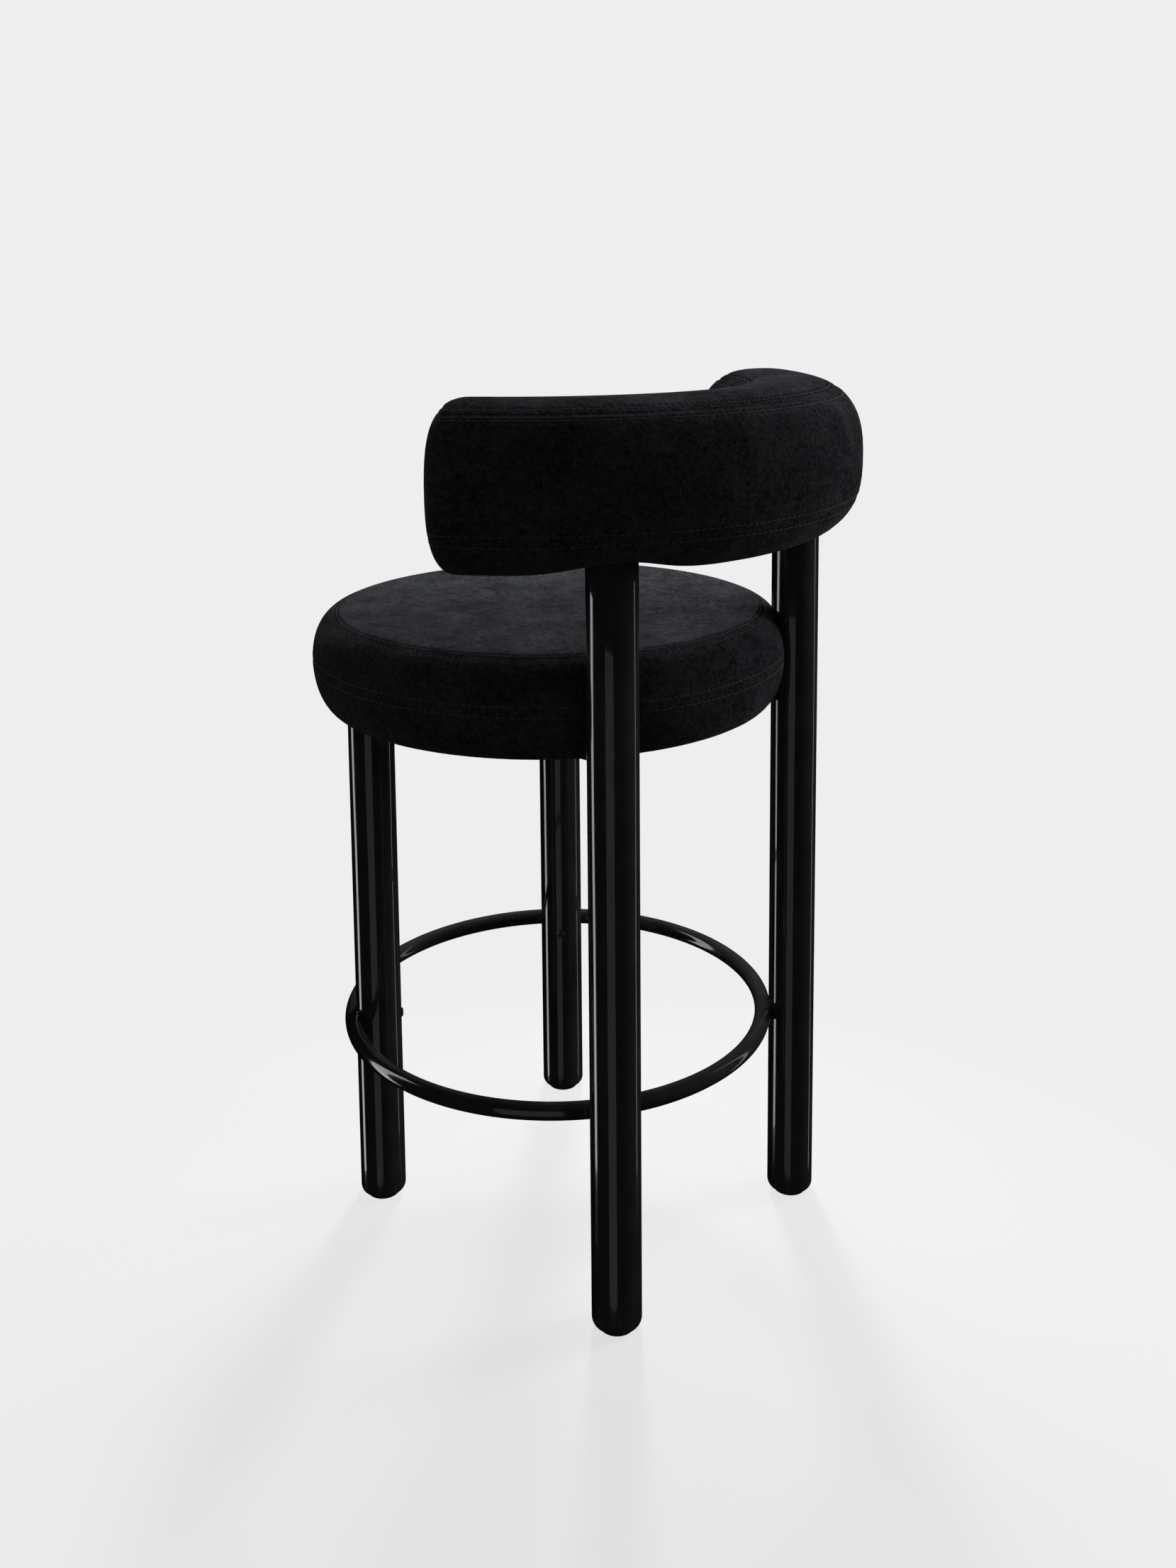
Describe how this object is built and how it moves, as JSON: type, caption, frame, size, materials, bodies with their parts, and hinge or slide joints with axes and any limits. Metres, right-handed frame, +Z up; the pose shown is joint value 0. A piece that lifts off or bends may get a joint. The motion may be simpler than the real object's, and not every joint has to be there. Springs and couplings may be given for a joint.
{
  "type": "bar stool",
  "caption": "Bar stool with four round black legs, a thin ring footrest, a thick round padded seat and a C-shaped padded backrest.",
  "frame": {"origin": "on the floor, under the middle of the stool's bounding box", "axes": "+Z up, the sitter faces -Y, +X is to the left of someone sitting on it"},
  "size_m": [0.5852, 0.5722, 0.8851],
  "materials": {
    "black_gloss_paint": "high-gloss black paint",
    "black_velvet": "black velvet over foam",
    "plywood": "raw birch plywood",
    "zinc_steel": "zinc-plated",
    "black_plastic": "matt",
    "cover_cloth": "non-woven cloth"
  },
  "bodies": {
    "root": {"rear_right_leg": "black_gloss_paint", "rear_right_foot_cap": "black_gloss_paint", "rear_right_glide": "black_plastic", "rear_right_glide_screw": "zinc_steel", "rear_left_leg": "black_gloss_paint", "rear_left_foot_cap": "black_gloss_paint", "rear_left_glide": "black_plastic", "rear_left_glide_screw": "zinc_steel", "front_right_leg": "black_gloss_paint", "front_right_foot_cap": "black_gloss_paint", "front_right_glide": "black_plastic", "front_right_glide_screw": "zinc_steel", "front_left_leg": "black_gloss_paint", "front_left_foot_cap": "black_gloss_paint", "front_left_glide": "black_plastic", "front_left_glide_screw": "zinc_steel", "footrest_ring": "black_gloss_paint", "front_right_ring_screw": "black_gloss_paint", "front_right_top_plate": "black_gloss_paint", "front_right_plate_screw_side": "zinc_steel", "front_right_plate_screw_end": "zinc_steel", "seat_rail_right": "black_gloss_paint", "front_left_ring_screw": "black_gloss_paint", "front_left_top_plate": "black_gloss_paint", "front_left_plate_screw_side": "zinc_steel", "front_left_plate_screw_end": "zinc_steel", "seat_rail_left": "black_gloss_paint", "seat_strap_front": "black_gloss_paint", "front_strap_screw_right": "zinc_steel", "front_strap_screw_left": "zinc_steel", "seat_strap_rear": "black_gloss_paint", "rear_strap_screw_right": "zinc_steel", "rear_strap_screw_left": "zinc_steel", "seat_board": "plywood", "seat_dust_cover": "cover_cloth", "seat_cushion": "black_velvet", "rear_right_post_bolt_lower": "zinc_steel", "rear_right_post_bolt_upper": "zinc_steel", "rear_right_post_plug": "black_plastic", "rear_left_post_bolt_lower": "zinc_steel", "rear_left_post_bolt_upper": "zinc_steel", "rear_left_post_plug": "black_plastic", "backrest_core": "plywood", "backrest_pad": "black_velvet"}
  },
  "joints": []
}
